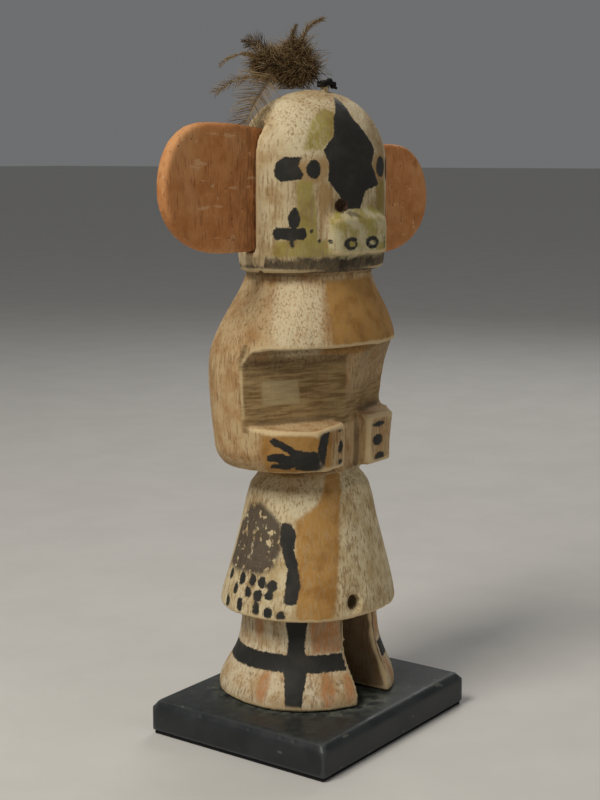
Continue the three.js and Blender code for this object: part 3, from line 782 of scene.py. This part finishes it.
base = dense_copy("plinth", "plinth_board", PLINTH_VOXEL, 3)
p = coords(base.data) / MM
low, high = (np.array(c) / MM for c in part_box("plinth"))
around_foot = np.hypot(p[:, 0], p[:, 1] - AXIS_Y)
put_attribute(base.data, "dust", np.clip(1 - (around_foot - 41) / 9, 0, 1) * (p[:, 2] > high[2] - 1)
              + 0.25 * (p[:, 2] > high[2] - 1))
displace(base, 0.04 * smooth_noise(p, 9, 21) - 0.5 * np.clip(smooth_noise(p, 2.4, 22) - 0.55, 0, 1)
         * (np.abs(p[:, 0] - low[0]) < 3))
base.data.materials.clear()
base.data.materials.append(plinth_material())
settle(base, "black_paint", "plinth")


def dress(node, material):
    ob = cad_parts[node]
    if not ob.material_slots:
        ob.data.materials.append(None)
    for s in ob.material_slots:
        s.link = "OBJECT"
        s.material = material


dress("felt_pad", plain_material("felt", srgb(16, 16, 17), srgb(30, 30, 32), 0.5, 0.95))
dress("crown_peg", plain_material("bare_wood", srgb(176, 156, 118), srgb(214, 198, 160), 0.8, 0.8))

feather_stuff = feather_material()

# the hanging feather, with long barbs out over the ear and shorter ones over the head
s = Strands()
vane(s, [(-16, 292.5, -7), (-20.6, 284.6, -20), (-24, 278.2, -26), (-28, 269.6, -29)], 74,
     lambda a: 17 - 9 * a, lambda a: 9.5 - 2.5 * a, 0.62, (0.45, 0.95), 0.35, 0.4, 0.14)
s.build("hanging_feather", feather_stuff, "feather_hanging")

s = Strands()
vane(s, [(-20, 292.6, -3), (-28, 291.4, -5), (-35, 288.8, -7), (-41, 285, -9)], 46,
     lambda a: 6 - 2 * a, lambda a: 5.5 - 2 * a, 0.95, (0.45, 0.9), 0.2, 0.3, 0.2)
s.build("side_feather", feather_stuff, "feather_side")

s = Strands()
vane(s, [(-18, 303, 3), (-23, 306.4, 4.5), (-30, 308, 6)], 90,
     lambda a: 5.5 * math.sin(math.pi * min(1, a + 0.12)) + 1.2,
     lambda a: 6 * math.sin(math.pi * min(1, a + 0.12)) + 1.2, 0.8, (0.0, 0.35), 0.2, 0.35, 0.3)
s.build("dark_plume", feather_stuff, "feather_dark_plume")

s = Strands()
for _ in range(9):
    lift = rng.normal() * 0.5
    vane(s, [(-22, 299.6 + lift, -1), (-28, 301.6 + lift, -2), (-34.5, 300.4 - lift, -3),
             (-40 + rng.random(), 296.8 + rng.normal() * 0.7, -4)],
         5, 1.6, 1.6, 1.1, (0.4, 0.8), 0.1, 0.16, 0.3)
s.build("wisp_feather", feather_stuff, "feather_wisp")

s = Strands()
vane(s, [(-4, 301.5, 2), (-2.6, 310, 2.4), (0.8, 314.6, 3), (6, 317, 3)], 80,
     lambda a: 3.4 - 1.4 * a, lambda a: 3.6 - 1.2 * a, 1.0, (0.35, 0.8), 0.15, 0.3, 0.35)
s.build("upright_feather", feather_stuff, "feather_upright")

s = Strands()
vane(s, [(-10.5, 300.6, 0), (-8, 309, -1.2), (-6, 314, -2.2)], 70,
     lambda a: 4.6 - 3 * a, lambda a: 3.2 - 2 * a, 1.05, (0.2, 0.7), 0.15, 0.3, 0.4)
s.build("spike_feather", feather_stuff, "feather_spike")

s = Strands()
vane(s, [(-7, 301, 8.5), (-13, 305.4, 14), (-20, 303.6, 18.6), (-26, 298, 21.6)], 70,
     lambda a: 5 - 2 * a, lambda a: 5 - 2 * a, 0.8, (0.25, 0.7), 0.2, 0.35, 0.3)
s.build("back_feather", feather_stuff, "feather_back")

# matted down: short curled strands all over three lumps, with a dark core
s = Strands()
lumps = [
    ((-6.5, 295.6, 1), (11, 7.4, 7.6)), ((-17.5, 297.4, 1), (8.4, 6, 6)),
    ((-5.5, 302.4, 1), (6, 5, 5.4))]
for (centre, radii), count in zip(lumps, (2600, 1200, 900)):
    for _ in range(count):
        d = rng.normal(size=3)
        d /= np.linalg.norm(d)
        depth = rng.uniform(0.45, 0.92)
        a, h, b = (c + r * k * depth for c, r, k in zip(
            (centre[0], centre[1], centre[2]), (radii[0], radii[2], radii[1]), (d[0], d[2], d[1])))
        h = max(h, 287.3)
        flow = np.array([-0.3, -0.05, 0.0]) + 0.75 * np.array([d[0], d[2], d[1]]) + 0.55 * rng.normal(size=3)
        flow /= np.linalg.norm(flow)
        curl = 0.8 * rng.normal(size=3)
        length = rng.uniform(2.5, 6)
        q = np.linspace(0, 1, 5)
        pts = [in_sheet(a + length * (k * flow[0] + 0.5 * k * k * curl[0]),
                        max(286.9, h + length * (k * flow[1] + 0.5 * k * k * curl[1])),
                        b + length * (k * flow[2] + 0.5 * k * k * curl[2])) for k in q]
        tone = min(1.0, max(0.0, 0.25 + 0.75 * depth * rng.random() + 0.12 * rng.normal()))
        s.strand(pts, 0.17, (tone * 0.55, tone), 0.3)
s.build("matted_down", feather_stuff, "feather_down")


def knotted_cord():
    """Black two-ply cord: turns round the peg, a few knots and short ends."""
    lo, hi = (np.array(c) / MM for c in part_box("feather_tie"))
    peg_lo, peg_hi = (np.array(c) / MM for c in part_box("crown_peg"))
    peg = (peg_lo + peg_hi) / 2
    z0 = lo[2] + 1.1
    runs = []
    turn = [(peg[0] + 2.9 * math.cos(a), peg[1] + 2.9 * math.sin(a), z0 + 0.22 * a)
            for a in np.linspace(0, 12.6, 60)]
    runs.append(turn)
    for bearing, out, z, r in ((-0.9, 3.6, 0.7, 1.25), (0.5, 4.2, 0.3, 1.15), (-2.6, 3.4, 1.2, 1.2), (-1.7, 2.6, 2.2, 1.1)):
        c = np.array([peg[0] + out * math.cos(bearing), peg[1] + out * math.sin(bearing), z0 + z])
        loop = []
        for a in np.linspace(0, 4 * math.pi, 44):
            loop.append(c + r * np.array([math.cos(a) * 0.8, math.sin(1.5 * a) * 0.55, math.sin(a) * 0.75]))
        runs.append(loop)
    runs.append([(hi[0] - 1.2, peg[1] - 1, z0 + 0.2), (hi[0] - 0.4, peg[1] - 2.2, z0 - 0.3), (hi[0], peg[1] - 3, z0 - 0.6)])
    verts, faces = [], []
    for run in runs:
        line = curve_points(run, 110 if len(run) > 10 else 14)
        tangent = np.gradient(line, axis=0)
        tangent /= np.linalg.norm(tangent, axis=1)[:, None]
        for ply in (0, math.pi):
            start = len(verts)
            for i, (c, t) in enumerate(zip(line, tangent)):
                side = np.cross(t, UP) + 1e-6
                side /= np.linalg.norm(side)
                other = np.cross(t, side)
                w = ply + i * 0.75
                core = c + 0.28 * (math.cos(w) * side + math.sin(w) * other)
                for k in range(6):
                    a = math.pi * k / 3
                    verts.append(tuple((core + 0.42 * (math.cos(a) * side + math.sin(a) * other)) * MM))
                if i:
                    a0, b0 = start + 6 * (i - 1), start + 6 * i
                    faces += [(a0 + k, a0 + (k + 1) % 6, b0 + (k + 1) % 6, b0 + k) for k in range(6)]
            faces.append(tuple(start + k for k in range(5, -1, -1)))
            faces.append(tuple(len(verts) - 6 + k for k in range(6)))
    mesh = bpy.data.meshes.new("knotted_cord")
    mesh.from_pydata(verts, [], faces)
    mesh.shade_smooth()
    mesh.materials.append(plain_material("cord", srgb(18, 16, 14), srgb(44, 40, 36), 0.4, 0.8))
    ob = bpy.data.objects.new("knotted_cord", mesh)
    scene.collection.objects.link(ob)
    settle(ob, "cord", "feather_tie")


knotted_cord()

# ---------------------------------------------------------------- floor, light and camera

floor_mesh = bpy.data.meshes.new("floor")
floor_mesh.from_pydata([(-30, -30, 0), (30, -30, 0), (30, 30, 0), (-30, 30, 0)], [], [(0, 1, 2, 3)])
floor = bpy.data.objects.new("floor", floor_mesh)
scene.collection.objects.link(floor)
floor.location.z = -0.0002
floor_mesh.materials.append(plain_material("floor", srgb(206, 204, 199), srgb(210, 208, 203), 60, 0.9, 0.0))

plinth_low, plinth_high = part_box("plinth")
centre = Vector(((plinth_low[0] + plinth_high[0]) / 2, (plinth_low[1] + plinth_high[1]) / 2, 0))
VIEW_TURN = math.radians(-54)


def lamp(name, turn, height, away, size, power, color):
    """A soft square light at a bearing from the view direction, aimed at the doll's chest."""
    light = bpy.data.lights.new(name, "AREA")
    light.shape = "SQUARE"
    light.size = size
    light.energy = power
    light.color = color
    ob = bpy.data.objects.new(name, light)
    scene.collection.objects.link(ob)
    a = VIEW_TURN + math.radians(turn)
    target = centre + Vector((0, 0, 0.17))
    ob.location = target + Vector((math.sin(a) * away, -math.cos(a) * away, height))
    ob.rotation_euler = (target - ob.location).to_track_quat("-Z", "Y").to_euler()


lamp("key", -42, 0.95, 0.85, 0.45, 12, (1.0, 0.95, 0.87))
lamp("fill", 50, 0.4, 1.3, 0.9, 1.6, (1.0, 0.96, 0.92))
lamp("rim", 160, 0.8, 1.1, 0.6, 3.5, (1.0, 0.98, 0.96))

world = bpy.data.worlds.new("studio")
scene.world = world
world.use_nodes = True
world.node_tree.nodes["Background"].inputs["Color"].default_value = (0.92, 0.93, 0.95, 1)
world.node_tree.nodes["Background"].inputs["Strength"].default_value = 0.17

camera_data = bpy.data.cameras.new("camera")
camera_data.lens = 67.5
camera_data.sensor_width = 36
camera = bpy.data.objects.new("camera", camera_data)
scene.collection.objects.link(camera)
camera.location = centre + Vector((-0.5411, -0.3866, 0.2576))
camera.rotation_euler = (math.radians(80.78), 0, VIEW_TURN)
scene.camera = camera
scene.view_settings.view_transform = "Standard"
